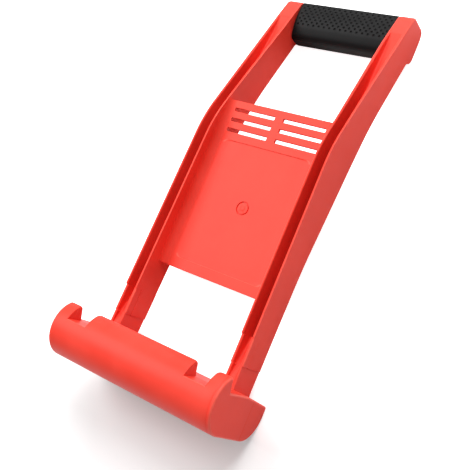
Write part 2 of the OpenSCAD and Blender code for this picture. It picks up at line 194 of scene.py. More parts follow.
# The floor's painted glow, which grows with the distance from a place and whitens the carrier's shadows away
# from the hook: place, weight of each axis, range, strength.
GLOW_FROM, GLOW_STRETCH, GLOW_RANGE, GLOW_STRENGTH = (0.0, -0.30, 0.0), (0.45, 1.0, 1.0), (0.09, 0.19), 0.9
# The camera, set out along the carrier: its place, the way it looks and the way to its right.
CAMERA_PLACE, CAMERA_CLIP = (0.330, 0.0539, 0.50505), 0.01
CAMERA_LOOK, CAMERA_RIGHT = (-0.525, 0.092, -0.846), (0.804, 0.380, -0.457)
# Its sensor in millimetres, and the focal length and the side of the picture in pixels.
SENSOR_W, FOCAL_PX, PICTURE_PX = 36.0, 760.0, 470.0


def lay_matrix():
    """Where the carrier lies: taken from the frame's seat mount, which faces along the rails."""
    seat = next(m for m in frame["record"]["mounts"] if m["name"] == "panel_seat")
    tilt = atan2(seat["axis"][2], seat["axis"][1])
    up = PANEL_GAP / 2 * MM
    shift = (0.0, seat["pos_m"][1] + up * sin(tilt), seat["pos_m"][2] - up * cos(tilt))
    return Matrix.Translation(shift) @ Matrix.Rotation(tilt, 4, "X")


LAY = lay_matrix()
LAY_MM = LAY @ Matrix.Scale(MM, 4)


def size_mm(name, description, default, least, most):
    """A size in millimetres to set in the sidebar."""
    return FloatProperty(name=name, description=f"{description}, in millimetres", default=default,
                         min=least, max=most)


def colour(name, description, default):
    """A colour to set in the sidebar."""
    return FloatVectorProperty(name=name, description=description, subtype="COLOR", size=4,
                               default=default, min=0.0, max=1.0)


class CarrierSizes(bpy.types.PropertyGroup):
    """Sizes of the rounded edges and of the grip's dimples."""
    crest_r: size_mm("Crest radius", "Rounding of the rails' front edges", 0.7, 0.3, 0.8)
    channel_r: size_mm("Channel edge radius", "Rounding of the channels' edges", 1.0, 0.2, 1.0)
    floor_r: size_mm("Channel floor radius", "Fillet along a channel's floor", 1.6, 0.3, 3.1)
    head_r: size_mm("Head edge radius", "Rounding across the top of a head", 3.4, 0.5, 4.0)
    draft: size_mm("Draft", "How much a rail narrows to the back", 0.9, 0.0, 1.5)
    hook_edge: size_mm("Hook edge", "Rounding of the hook's edges", 0.8, 0.2, 0.9)
    notch_r: size_mm("Notch corner", "Rounding of the lip's corners at a notch", 2.8, 0.9, 3.2)
    end_edge: size_mm("Hook end edge", "Rounding round the hook's flat ends", 1.7, 0.5, 2.2)
    plate_edge: size_mm("Plate edge", "Rounding of the plate's and slots' edges", 0.5, 0.1, 0.7)
    plate_fillet: size_mm("Plate fillet", "Fillet between the plate and a rail", 6.0, 2.0, 6.0)
    dimple_rows: IntProperty(
        name="Dimple rows", description="Rows of dimples on the front of the grip",
        default=8, min=2, max=8)
    dimple_columns: IntProperty(
        name="Dimple columns", description="Columns of the dimples' chequer along the grip",
        default=35, min=11, max=45)
    row_pitch: size_mm("Row pitch", "Distance from one row of dimples to the next", 2.65, 1.5, 3.0)
    dimple_rim: size_mm("Dimple rim", "Width of the rim round a dimple", 0.22, 0.1, 0.8)
    dimple_depth: size_mm("Dimple depth", "Depth of a dimple", 0.9, 0.2, 1.5)


class CarrierFinish(bpy.types.PropertyGroup):
    """Colours of the pieces and of the floor."""
    red: colour("Red plastic", "Colour of the moulded frame", (0.79, 0.054, 0.034, 1.0))
    # A painted highlight: a lighter red along the frame's crests and rounded edges.
    highlight_red: colour("Highlight red", "Painted highlight along the frame's edges", (0.92, 0.16, 0.115, 1.0))
    deep_red: colour("Deep red", "Darker flow marks in the plastic", (0.75, 0.045, 0.027, 1.0))
    charcoal: colour("Charcoal", "Colour of the soft grip", (0.006, 0.006, 0.0062, 1.0))
    # A painted highlight: a lighter charcoal on the rims round the grip's dimples.
    highlight_charcoal: colour("Highlight charcoal", "Painted highlight on the rims of the grip's dimples", (0.020, 0.020, 0.020, 1.0))
    floor: colour("Floor", "Colour of the floor", (0.80, 0.80, 0.80, 1.0))


def sizes():
    """The sizes as set in the sidebar."""
    return bpy.context.scene.carrier_sizes


def finish():
    """The colours as set in the sidebar."""
    return bpy.context.scene.carrier_finish


# The rails' side outline and plan.

def leaning_edge(l, start, line):
    """Height at length l of an edge that leans back along line, with its round bends."""
    h = start
    for (at, lean, _), (end, next_lean, r) in zip(line, line[1:]):
        lean, next_lean = radians(lean), radians(next_lean)
        reach = r * tan((next_lean - lean) / 2)
        bend_from = end - reach * cos(lean)
        if l <= bend_from:
            return h - (l - at) * tan(lean)
        if l < end + reach * cos(next_lean):
            bend_h = h - (bend_from - at) * tan(lean)
            return bend_h - r * cos(lean) + sqrt(r * r - (l - bend_from + r * sin(lean)) ** 2)
        h -= (end - at) * tan(lean)
    at, lean, _ = line[-1]
    return h - (l - at) * tan(radians(lean))


def front_at(l):
    """Height of a rail's front edge, with the round nose of its head."""
    lean = radians(FRONT_LINE[-1][1])
    nose_from = HEAD_TOP - NOSE_R + NOSE_R * sin(lean)
    if l <= nose_from:
        return leaning_edge(l, 0.0, FRONT_LINE)
    centre_h = leaning_edge(nose_from, 0.0, FRONT_LINE) - NOSE_R * cos(lean)
    return centre_h + sqrt(max(NOSE_R**2 - (l - HEAD_TOP + NOSE_R) ** 2, 0.0))


def heel_fillet():
    """Centre of the fillet between a rail's back edge and its head's heel, and the lengths where it ends."""
    lean = radians(BACK_LINE[-1][1])
    heel_h = leaning_edge(NECK, -FOOT_DEPTH, BACK_LINE)
    reach = HEEL_R * cos(lean)
    back_by = sqrt(reach**2 + 2 * HEEL_FILLET_R * HEEL_R * (1 - sin(lean))) - reach
    first = NECK - back_by * cos(lean)
    centre_h = heel_h + back_by * sin(lean) - HEEL_FILLET_R * cos(lean)
    centre = Vector((first - HEEL_FILLET_R * sin(lean), centre_h))
    heel = Vector((NECK + HEEL_R, heel_h))
    last = centre.lerp(heel, HEEL_FILLET_R / (HEEL_FILLET_R + HEEL_R)).x
    return centre, first, last


def back_at(l):
    """Height of a rail's back edge, with the heel and the crown of its head."""
    centre, first, last = heel_fillet()
    if l <= first:
        return leaning_edge(l, -FOOT_DEPTH, BACK_LINE)
    if l < last:
        return centre.y + sqrt(HEEL_FILLET_R**2 - (l - centre.x) ** 2)
    heel_h = leaning_edge(NECK, -FOOT_DEPTH, BACK_LINE)
    if l < NECK + HEEL_R:
        return heel_h - sqrt(HEEL_R**2 - (l - NECK - HEEL_R) ** 2)
    crown_l = HEAD_TOP - CROWN_R
    if l <= crown_l:
        return heel_h - HEEL_R
    return heel_h - HEEL_R + CROWN_R - sqrt(max(CROWN_R**2 - (l - crown_l) ** 2, 0.0))


def outer_at(l):
    """Half span over the rails' outer faces, which draw in up to the bend."""
    return OUTER_HALF - OUTER_DRAW * min(l / BEND_AT, 1.0)


def inner_at(l):
    """Half span between the rails' inner faces, which draw in along the plate and along the hand gap."""
    if l < PLATE_END:
        return INNER_HALF - PLATE_DRAW * l / PLATE_END
    return INNER_HALF - PLATE_DRAW - HAND_GAP_DRAW * min((l - PLATE_END) / (NECK - PLATE_END), 1.0)


def floor_at(l):
    """Height of a channel's floor, which climbs to the front below the head."""
    if l <= CHANNEL_FROM:
        return back_at(l) + WEB
    from_l, depth = CHANNEL_FROM, front_at(CHANNEL_FROM) - back_at(CHANNEL_FROM) - WEB
    for to_l, to_depth in CHANNEL_DEPTHS:
        if l <= to_l:
            return front_at(l) - depth - (to_depth - depth) * (l - from_l) / (to_l - from_l)
        from_l, depth = to_l, to_depth
    return front_at(l)


def wall_at(l):
    """Thickness of a rail's walls, which is greater above the plate."""
    return LOW_WALL + (HIGH_WALL - LOW_WALL) * min(max((l - CHANNEL_FROM) / WALL_RUN, 0.0), 1.0)


# Sections, rings and meshes.

def spread(start, end, count):
    """Values in even steps from start to end."""
    return [start + (end - start) * i / count for i in range(count + 1)]


def arc(cx, cy, r, start, end, count=ARC_STEPS):
    """Points of an arc in a section, by its angles in degrees."""
    turns = [radians(a) for a in spread(start, end, count)]
    return [(cx + r * cos(a), cy + r * sin(a)) for a in turns]


def inside_arc(first):
    """Numbers of the points between the ends of an arc, by the number of its first point in a section."""
    return set(range(first + 1, first + ARC_STEPS))


def ring_at(side, l, section):
    """The points of a section at length l, on one side of the carrier."""
    return [(side * x, l, h) for x, h in section]


def channel_section(out, inn, front, back, floor, wall, crest_r, back_r=EDGE_R):
    """Closed section of a rail or foot: two walls, a channel between them and a web behind it."""
    s = sizes()
    depth = max(front - floor, 0.0)
    edge_r = min(s.channel_r, depth * ROUND_SHARE)
    fillet_r = min(s.floor_r, depth * ROUND_SHARE)
    draft = s.draft * min((front - back) / FOOT_DEPTH, 1.0)
    return (
        arc(out - back_r, back + back_r, back_r, -90, 0)
        + arc(out - crest_r, front - crest_r, crest_r, 0, 90)
        + arc(out - wall + edge_r, front - edge_r, edge_r, 90, 180)
        + arc(out - wall - fillet_r, floor + fillet_r, fillet_r, 0, -90)
        + arc(inn + wall + fillet_r, floor + fillet_r, fillet_r, -90, -180)
        + arc(inn + wall - edge_r, front - edge_r, edge_r, 0, 90)
        + arc(inn + crest_r, front - crest_r, crest_r, 90, 180)
        + arc(inn + draft + back_r, back + back_r, back_r, 180, 270)
    )


# Points of that section on the rounds of its two outer front edges, which are its second and seventh arcs,
# marked for the painted edge highlight.
ARC_POINTS = ARC_STEPS + 1
CREST_POINTS = inside_arc(ARC_POINTS) | inside_arc(6 * ARC_POINTS)


def rounded_ring(x0, x1, l0, l1, r):
    """Points round a rectangle with rounded corners, in the plane of the plate."""
    centres = [(x1 - r, l1 - r), (x0 + r, l1 - r), (x0 + r, l0 + r), (x1 - r, l0 + r)]
    corners = [arc(x, l, r, 90 * i, 90 * i + 90, CORNER_STEPS) for i, (x, l) in enumerate(centres)]
    points = []
    for corner, following in zip(corners, corners[1:] + corners[:1]):
        start, end = Vector(corner[-1]), Vector(following[0])
        points += corner + [tuple(start.lerp(end, i / SIDE_STEPS)) for i in range(1, SIDE_STEPS)]
    return points


def ring_edges(bm, ring):
    """The edges of a closed ring of vertices."""
    return [bm.edges.get((ring[i - 1], ring[i])) for i in range(len(ring))]


def extrude_ring(bm, ring):
    """Extrudes a closed ring of edges and returns the new ring in the same order."""
    made = bmesh.ops.extrude_edge_only(bm, edges=ring_edges(bm, ring))
    new = {v for v in made["geom"] if isinstance(v, bmesh.types.BMVert)}
    return [next(e.other_vert(v) for e in v.link_edges if e.other_vert(v) in new) for v in ring]


def first_ring(bm, count):
    """A ring of vertices to start a loft from, in their order round it."""
    ring = [bmesh.ops.create_circle(bm, segments=count, radius=1.0)["verts"][0]]
    while len(ring) < count:
        neighbours = [e.other_vert(ring[-1]) for e in ring[-1].link_edges]
        ring.append(next(v for v in neighbours if v not in ring[-2:]))
    return ring


def highlight_layer(bm):
    """The layer that marks where a lighter edge highlight is painted."""
    return bm.verts.layers.float.get("edge_highlight") or bm.verts.layers.float.new("edge_highlight")


def loft(bm, rings, crests, capped=True):
    """Lofts a closed skin through rings of points, closes its ends and marks the points that crests picks for
    the painted edge highlight.
    """
    layer = highlight_layer(bm)
    before = set(bm.verts)
    ring = first_ring(bm, len(rings[0]))
    ends = [ring]
    for i, points in enumerate(rings):
        if i:
            ring = extrude_ring(bm, ring)
        for j, (vert, point) in enumerate(zip(ring, points)):
            vert.co = point
            vert[layer] = 1.0 if crests(i, j) else 0.0
    ends.append(ring)
    for ring in ends if capped else ():
        bmesh.ops.contextual_create(bm, geom=ring_edges(bm, ring))
    bmesh.ops.remove_doubles(bm, verts=[v for v in bm.verts if v not in before], dist=MERGE_GAP)
    made = [v for v in bm.verts if v not in before]
    bmesh.ops.dissolve_degenerate(bm, dist=DISSOLVE_GAP, edges=list({e for v in made for e in v.link_edges}))
    bmesh.ops.recalc_face_normals(bm, faces=[f for f in bm.faces if not before.intersection(f.verts)])


def finished_piece(node, bm, material, shading_break):
    """Lays a bmesh down with the carrier and makes it the shaded piece that stands for a CAD node."""
    bmesh.ops.transform(bm, matrix=LAY_MM, verts=bm.verts)
    mesh = bpy.data.meshes.new(node + "_skin")
    bm.to_mesh(mesh)
    bm.free()
    mesh.shade_smooth()
    mesh.set_sharp_from_angle(angle=radians(shading_break))
    mesh.materials.append(material)
    piece = bpy.data.objects.new(node + "_skin", mesh)
    bpy.context.scene.collection.objects.link(piece)
    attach(piece, "root")
    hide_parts(node)
    return piece


def red_piece(node, bm):
    """A finished red piece whose large faces set the shading, so that they stay flat beside round edges."""
    piece = finished_piece(node, bm, red_plastic(), PLASTIC_BREAK)
    shade = piece.modifiers.new("Even shading", "WEIGHTED_NORMAL")
    shade.keep_sharp = True
    shade.weight = SHADING_WEIGHT


def red_pair(kind, rings):
    """Lofts the left and the right piece of a kind that has the rails' section."""
    for side, word in SIDES:
        bm = bmesh.new()
        loft(bm, rings(side), lambda i, j: j in CREST_POINTS)
        red_piece(f"{word}_{kind}", bm)


def rail_stations():
    """Where a rail's full sections stand, from the chamfer above the lap to the top of its head."""
    _, fillet_from, fillet_to = heel_fillet()
    along = set(HEAD_STATIONS)
    for run in RAIL_RUNS + ((fillet_from, fillet_to, HEEL_FILLET_STEPS),):
        along.update(spread(*run))
    along.update(NECK + HEEL_R * (1 - cos(radians(a))) for a in HEEL_ANGLES)
    along.update(HEAD_TOP - CROWN_R * (1 - sin(radians(a))) for a in CROWN_ANGLES)
    return sorted(along)


def rail_rings(side):
    """Rings of one rail, from its square end at the foot up to the top of its head."""
    head_r, crest_r = sizes().head_r, sizes().crest_r
    rings = []
    for l in spread(LAP_FOOT, LAP_TOP, 2):
        rings.append(ring_at(side, l, channel_section(
            outer_at(l), inner_at(l), -LAP_DEPTH, back_at(l), floor_at(l), LOW_WALL, LAP_EDGE)))
    for l, drop in [(LAP_TOP, CHAMFER_DROP)] + [(l, 0.0) for l in rail_stations()]:
        over = max(l - HEAD_TOP + head_r, 0.0)
        draw_in = head_r - sqrt(max(head_r**2 - over**2, 0.0))
        ease = min(max((l - CHANNEL_TOP) / (HEAD_TOP - CROWN_R - CHANNEL_TOP), 0.0), 1.0)
        rings.append(ring_at(side, l, channel_section(
            outer_at(l) - draw_in, inner_at(l) + draw_in, front_at(l) - drop, back_at(l), floor_at(l),
            wall_at(l), crest_r + (EDGE_R - crest_r) * ease)))
    return rings


def foot_section(l, back, back_r, draw):
    """Section of a foot, whose channel falls from its end at the front to the end of the lap."""
    front = front_at(l) - FOOT_STEP
    fallen = max((l - FOOT_CHANNEL_END) / (LAP_TOP - FOOT_CHANNEL_END), 0.0)
    floor = front - (front - front_at(LAP_TOP) + FOOT_CHANNEL_DEPTH) * fallen
    step = FOOT_SIDE_STEP + draw
    return channel_section(outer_at(l) - step, inner_at(l) + step, front, back, floor, FOOT_WALL, EDGE_R,
                           back_r)


def foot_rings(side):
    """Rings of one foot, from the sloping seat of the hook up to the step in the channel's walls."""
    seat = foot_section(0.0, back_at(0.0), FOOT_BACK_R, 0.0)
    rings = [[(side * x, SEAT_SLOPE * min(h, 0.0), h) for x, h in seat]]
    for l, draw in [(l, FOOT_DRAW) for l in FOOT_STATIONS] + [(LAP_FOOT, WITNESS_DRAW)]:
        rings.append(ring_at(side, l, foot_section(l, back_at(l), FOOT_BACK_R, draw)))
    for l, draw in [(LAP_FOOT, WITNESS_DRAW)] + [(l, LAP_DRAW) for l in LAP_STATIONS]:
        rings.append(ring_at(side, l, foot_section(l, -FOOT_TONGUE, LAP_EDGE, draw)))
    return rings


def bite(d, r):
    """How far a corner of radius r is cut back at a distance d from its side."""
    return r - sqrt(r * r - max(r - d, 0.0) ** 2)


def lip_section(d, edge_turn):
    """The lip from its foot over its tip to the round front, at a distance d from a notch."""
    s = sizes()
    r, slope = s.hook_edge, LIP_DRAFT / LIP_RISE
    inset = bite(d, r)
    tip_l = LIP_RISE - bite(d, s.notch_r) - r
    foot_l = spread(0.0, tip_l, LIP_FOOT_STEPS)[1:-1]
    foot = [(l, PANEL_GAP + slope * l + inset * min(l / LIP_DRAFT, 1.0)) for l in foot_l]
    lean = atan2(LIP_DRAFT, LIP_RISE)
    back_h = PANEL_GAP + slope * tip_l + r / cos(lean) + inset
    front_h = HOOK_C.y + sqrt((HOOK_R - inset - r) ** 2 - (tip_l - HOOK_C.x) ** 2)
    turn = degrees(atan2(front_h - HOOK_C.y, tip_l - HOOK_C.x))
    front = []
    for a in spread(turn, edge_turn, LIP_FRONT_STEPS)[1:]:
        reach = HOOK_R - inset * min((edge_turn - a) / LIP_FADE, 1.0)
        front.append((HOOK_C.x + reach * cos(radians(a)), HOOK_C.y + reach * sin(radians(a))))
    return foot + arc(tip_l, back_h, r, degrees(lean) - 90, 0) + arc(tip_l, front_h, r, 0, turn) + front


def hook_section(d, notched):
    """Closed section of the hook's shell at a distance d from a notch, or inside the notch."""
    r = sizes().hook_edge
    back, front = SILL
    edge_l = front - r
    edge_h = HOOK_C.y + sqrt((HOOK_R - r) ** 2 - (edge_l - HOOK_C.x) ** 2)
    edge_turn = degrees(atan2(edge_h - HOOK_C.y, edge_l - HOOK_C.x))
    lip = lip_section(d, edge_turn)
    if notched:
        fall = (back - front) / (edge_h - PANEL_GAP)
        edge = arc(edge_l, edge_h, r, degrees(atan2(fall, 1.0)), edge_turn)
        lip = [(back - fall * (h - PANEL_GAP), h) for _, h in lip[:-len(edge)]] + edge
    seat_end = -SEAT_SLOPE * HOOK_BACK
    bottom_l, bottom_h = BOTTOM_END
    inner_r = HOOK_R - HOOK_WALL
    inner_turn = degrees(acos((-HOOK_WALL - HOOK_C.x) / inner_r))
    return (
        arc(seat_end - r + SEAT_SLOPE * r, r - HOOK_BACK, r, -90, 0) + [(0.0, 0.0), (0.0, PANEL_GAP)] + lip
        + arc(*HOOK_C, HOOK_R, edge_turn, 180, HOOK_OUTER_STEPS)[1:]
        + arc(bottom_l + r, bottom_h + r, r, 180, 270)
        + arc(bottom_l + HOOK_WALL - r, bottom_h + r, r, 270, 360)
        + arc(*HOOK_C, inner_r, 180, inner_turn, HOOK_INNER_STEPS)
        + [(-HOOK_WALL, 0.0)] + arc(seat_end - HOOK_WALL + r, r - HOOK_BACK, r, 180, 270)
    )


# Points of the hook's section on the rounds of the lip's tip, and on the front edge of a notch's sill, marked
# for the painted edge highlight. The tip follows the seat's back edge, its two other points and the lip's
# foot, and the sill's edge ends the lip.
TIP_FROM = ARC_POINTS + 2 + LIP_FOOT_STEPS - 1
TIP_POINTS = inside_arc(TIP_FROM) | inside_arc(TIP_FROM + ARC_POINTS)
SILL_POINTS = inside_arc(TIP_FROM + ARC_POINTS + LIP_FRONT_STEPS)


def drawn_in(points):
    """The points with those on the hook's round front pulled in, for the groove beside the right end."""
    drawn = []
    for x, l, h in points:
        reach = Vector((l, h)) - HOOK_C
        if reach.length > HOOK_R - NEAR:
            l, h = HOOK_C + reach * (1.0 - JOINT_DEPTH / reach.length)
        drawn.append((x, l, h))
    return drawn


def hook_stations():
    """Where the hook's sections stand, from left to right: x, distance to a notch, and whether inside one."""
    near = [sizes().notch_r * share for share in NOTCH_SHARES]
    first, last = NOTCH_X
    half = [(first - d, d, False) for d in near] + [(first, 0.0, True), (last, 0.0, True)]
    half += [(last + d, d, False) for d in reversed(near)]
    half += [(x, x - last, False) for x in (HOOK_END_X - JOINT_RUN, HOOK_END_X)]
    return [(-x, d, notched) for x, d, notched in reversed(half)] + half


def flatten(bm):
    """Makes flat faces whole again."""
    bmesh.ops.dissolve_limit(bm, angle_limit=radians(FLAT_ANGLE), use_dissolve_boundaries=False,
                             verts=bm.verts, edges=bm.edges, delimit=set())


def cad_copy(node):
    """A merged copy of a CAD node's mesh, with its flat faces whole, in millimetres along the carrier."""
    bm = bmesh.new()
    bm.from_mesh(frame["nodes"][node].data)
    bmesh.ops.transform(bm, matrix=LAY_MM.inverted(), verts=bm.verts)
    bmesh.ops.remove_doubles(bm, verts=bm.verts, dist=MERGE_GAP)
    flatten(bm)
    return bm


def soften(bm, radius, segments, wanted):
    """Rounds the outer edges that wanted picks, and marks the rounds for the painted edge highlight."""
    outer = [e for e in bm.edges if len(e.link_faces) == 2 and e.is_convex]
    picked = [e for e in outer if e.calc_face_angle() > radians(SHARP_ANGLE) and wanted(e)]
    made = bmesh.ops.bevel(bm, geom=picked, offset=radius, offset_type="OFFSET", affect="EDGES",
                           segments=segments, profile=0.5, material=-1, clamp_overlap=False, loop_slide=True)
    layer = highlight_layer(bm)
    round_faces = {f for f in made["faces"] if f.is_valid}
    for v in {v for f in round_faces for v in f.verts}:
        v[layer] = 1.0 if round_faces.issuperset(v.link_faces) else 0.0


def cut_across(bm, place, normal):
    """Cuts new edges where a plane crosses a mesh."""
    bmesh.ops.bisect_plane(bm, geom=bm.verts[:] + bm.edges[:] + bm.faces[:], dist=CUT_GAP, plane_co=place,
                           plane_no=normal)


def between_rails(x0, x1, l0, l1):
    """Points round a square stretch of the plate, by shares of the half span between the rails."""
    return [(x * inner_at(l), l) for x, l in rounded_ring(x0, x1, l0, l1, SQUARE_R)]


def plate_wall():
    """Steps down the plate's rounded wall, from face to underside: how far each draws in, and its height."""
    e = sizes().plate_edge
    edge = [(e, 0.0), (EDGE_SHARE * e, EDGE_SHARE * e), (0.0, e)]
    upper = [(draw, PLATE_FACE - drop) for draw, drop in edge]
    return upper + [(draw, PLATE_UNDER + rise) for draw, rise in reversed(edge)]


def crown_at(l):
    """Height of the grip's crowned front."""
    return GRIP_CREST_H - (l - GRIP_CREST_L) ** 2 / (2 * GRIP_CREST_R)


def grip_section(rows):
    """Closed section of the grip, from the dimples' rows down its front and round by its back to its top."""
    plain = [rows[-1] - PLAIN_STEP * (i + 1) for i in range(PLAIN_STEPS)]
    back_h, top_h = GRIP_BACK + GRIP_BACK_R, crown_at(rows[0]) - GRIP_TOP_SINK
    return (
        [(l, crown_at(l)) for l in rows + plain]
        + arc(GRIP_FOOT + GRIP_LOW_R, GRIP_LOW_H, GRIP_LOW_R, GRIP_LOW_TURN, 180, GRIP_LOW_STEPS)
        + arc(GRIP_FOOT + GRIP_BACK_R, back_h, GRIP_BACK_R, 180, 270, GRIP_BACK_STEPS)
        + arc(GRIP_TOP - GRIP_BACK_R, back_h, GRIP_BACK_R, 270, 360, GRIP_BACK_STEPS)
        + [(GRIP_TOP, GRIP_TOP_H)] + arc(GRIP_TOP - GRIP_TOP_R, top_h, GRIP_TOP_R, 0, GRIP_TOP_TURN)
    )


# Finishes.

def node_group(name, inputs, outputs):
    """An empty shader node group with named sockets, and its input and output nodes."""
    group = bpy.data.node_groups.new(name, "ShaderNodeTree")
    for socket, kind, default in inputs:
        made = group.interface.new_socket(socket, in_out="INPUT", socket_type=kind)
        if default is not None:
            made.default_value = default
    for socket, kind in outputs:
        group.interface.new_socket(socket, in_out="OUTPUT", socket_type=kind)
    return group, group.nodes.new("NodeGroupInput"), group.nodes.new("NodeGroupOutput")


def feed(tree, socket, value):
    """Links a socket to another one, or sets it to a plain value."""
    if isinstance(value, bpy.types.NodeSocket):
        tree.links.new(value, socket)
    else:
        socket.default_value = value


def add_noise(tree, vector, scale, detail, roughness):
    """A noise node that reads its place and scale from sockets."""
    noise = tree.nodes.new("ShaderNodeTexNoise")
    noise.inputs["Detail"].default_value = detail
    noise.inputs["Roughness"].default_value = roughness
    tree.links.new(vector, noise.inputs["Vector"])
    tree.links.new(scale, noise.inputs["Scale"])
    return noise.outputs["Fac"]


def add_math(tree, operation, a, b):
    """A math node on two sockets or numbers."""
    node = tree.nodes.new("ShaderNodeMath")
    node.operation = operation
    feed(tree, node.inputs[0], a)
    feed(tree, node.inputs[1], b)
    return node.outputs[0]


def add_vector_math(tree, operation, a, b):
    """A vector math node on a socket and a plain vector."""
    node = tree.nodes.new("ShaderNodeVectorMath")
    node.operation = operation
    feed(tree, node.inputs[0], a)
    feed(tree, node.inputs[1], b)
    return node.outputs


def add_colour_mix(tree, share, first, second):
    """A mix of two colours, each a socket or a plain colour."""
    node = tree.nodes.new("ShaderNodeMix")
    node.data_type = "RGBA"
    feed(tree, node.inputs[MIX_SHARE], share)
    feed(tree, node.inputs[MIX_FIRST], first)
    feed(tree, node.inputs[MIX_SECOND], second)
    return node.outputs[MIX_RESULT]


def add_map_range(tree, value, from_range, to_range, interpolation="LINEAR"):
    """A node that spreads one range of a value over another."""
    node = tree.nodes.new("ShaderNodeMapRange")
    node.interpolation_type = interpolation
    for socket, number in zip(("From Min", "From Max", "To Min", "To Max"), (*from_range, *to_range)):
        node.inputs[socket].default_value = number
    tree.links.new(value, node.inputs["Value"])
    return node.outputs["Result"]


def add_group(tree, name, build, place):
    """A node that holds a shared group, which is built only once."""
    node = tree.nodes.new("ShaderNodeGroup")
    node.node_tree = bpy.data.node_groups.get(name) or build(name)
    tree.links.new(place, node.inputs["Vector"])
    return node


def mould_grain_group(name):
    """The fine spark-eroded grain and slow flow marks that a mould leaves on plastic and rubber."""
    group, start, end = node_group(
        name,
        [("Vector", "NodeSocketVector", None), ("Grain scale", "NodeSocketFloat", 2600.0),
         ("Flow scale", "NodeSocketFloat", 22.0)],
        [("Height", "NodeSocketFloat"), ("Flow", "NodeSocketFloat")])
    place, scale = start.outputs["Vector"], start.outputs["Grain scale"]
    grain = add_noise(group, place, scale, detail=2.0, roughness=0.55)
    coarse_scale = add_math(group, "MULTIPLY", scale, COARSE_SCALE)
    coarse = add_noise(group, place, coarse_scale, detail=2.0, roughness=0.5)
    flow = add_noise(group, place, start.outputs["Flow scale"], detail=3.0, roughness=0.5)
    coarse_part = add_math(group, "MULTIPLY", coarse, COARSE_WEIGHT)
    group.links.new(add_math(group, "ADD", grain, coarse_part), end.inputs["Height"])
    group.links.new(flow, end.inputs["Flow"])
    return group


def edge_highlight_group(name):
    """A mask, broken into patches, of the marked crests and edges where a lighter highlight is painted."""
    group, start, end = node_group(
        name,
        [("Vector", "NodeSocketVector", None), ("Patch scale", "NodeSocketFloat", 90.0),
         ("Amount", "NodeSocketFloat", 0.6)],
        [("Mask", "NodeSocketFloat")])
    near = group.nodes.new("ShaderNodeAttribute")
    near.attribute_name = "edge_highlight"
    patch = add_noise(group, start.outputs["Vector"], start.outputs["Patch scale"], detail=3.0, roughness=0.6)
    broken = add_math(group, "MULTIPLY", near.outputs["Fac"], add_math(group, "SMOOTH_MIN", patch, PATCH_TOP))
    group.links.new(add_math(group, "MULTIPLY", broken, start.outputs["Amount"]), end.inputs["Mask"])
    return group


def moulded_material(name, plain, highlight_colour, deep, rough, gloss, bump, grain_scale, highlight_amount):
    """A moulded finish: flow marks in its colour, grain in its bump and roughness, and a painted highlight
    along marked edges, which are also smoother.
    """
    material = bpy.data.materials.new(name)
    material.use_nodes = True
    tree = material.node_tree
    shader = tree.nodes["Principled BSDF"]
    shader.inputs["Specular IOR Level"].default_value = gloss
    place = tree.nodes.new("ShaderNodeTexCoord").outputs["Object"]
    grain = add_group(tree, "Mould grain", mould_grain_group, place)
    grain.inputs["Grain scale"].default_value = grain_scale
    edge_highlight = add_group(tree, "Painted edge highlight", edge_highlight_group, place)
    edge_highlight.inputs["Amount"].default_value = highlight_amount
    flow, mask = grain.outputs["Flow"], edge_highlight.outputs["Mask"]
    marks = add_colour_mix(tree, add_map_range(tree, flow, FLOW_RANGE, (0.0, 1.0)), deep, plain)
    # The marked edges get the lighter colour, a painted highlight.
    tree.links.new(add_colour_mix(tree, mask, marks, highlight_colour), shader.inputs["Base Color"])
    sheen = add_map_range(tree, flow, SHEEN_RANGE, [rough + swing for swing in SHEEN_SWING])
    polish = add_math(tree, "MULTIPLY", mask, EDGE_POLISH)
    tree.links.new(add_math(tree, "SUBTRACT", sheen, polish), shader.inputs["Roughness"])
    height = tree.nodes.new("ShaderNodeBump")
    height.inputs["Strength"].default_value = bump
    height.inputs["Distance"].default_value = GRAIN_DEPTH
    tree.links.new(grain.outputs["Height"], height.inputs["Height"])
    tree.links.new(height.outputs["Normal"], shader.inputs["Normal"])
    return material


def red_plastic():
    """The satin red plastic of the moulded frame."""
    f = finish()
    return bpy.data.materials.get("Red moulded plastic") or moulded_material(
        "Red moulded plastic", plain=f.red, highlight_colour=f.highlight_red, deep=f.deep_red, rough=0.42, gloss=0.14,
        bump=0.22, grain_scale=2600.0, highlight_amount=0.9)


def soft_rubber():
    """The matt charcoal rubber of the grip."""
    f = finish()
    return bpy.data.materials.get("Charcoal grip rubber") or moulded_material(
        "Charcoal grip rubber", plain=f.charcoal, highlight_colour=f.highlight_charcoal, deep=f.charcoal, rough=0.5,
        gloss=0.09, bump=0.4, grain_scale=1900.0, highlight_amount=0.8)


def floor_material():
    """A pale floor with a painted glow, which only the camera sees, that makes the floor white, shadows and
    all, except in the carrier's shadow near the hook.
    """
    material = bpy.data.materials.new("Pale floor")
    material.use_nodes = True
    tree = material.node_tree
    shader = tree.nodes["Principled BSDF"]
    shader.inputs["Base Color"].default_value = finish().floor
    shader.inputs["Roughness"].default_value = FLOOR_ROUGH
    shader.inputs["Specular IOR Level"].default_value = 0.0
    shader.inputs["Emission Color"].default_value = WHITE
    place = tree.nodes.new("ShaderNodeTexCoord").outputs["Object"]
    stretched = add_vector_math(tree, "MULTIPLY", place, GLOW_STRETCH)["Vector"]
    away = add_vector_math(tree, "DISTANCE", stretched, GLOW_FROM)["Value"]
    glow = add_map_range(tree, away, GLOW_RANGE, (0.0, GLOW_STRENGTH), "SMOOTHSTEP")
    camera_ray = tree.nodes.new("ShaderNodeLightPath").outputs["Is Camera Ray"]
    tree.links.new(add_math(tree, "MULTIPLY", camera_ray, glow), shader.inputs["Emission Strength"])
    return material


# Operators, one for each piece or group of like pieces.

class CARRIER_OT_rails(bpy.types.Operator):
    """Loft the two channel rails with their heads"""
    bl_idname = "carrier.rails"
    bl_label = "Rails"

    def execute(self, context):
        red_pair("rail", rail_rings)
        return {"FINISHED"}


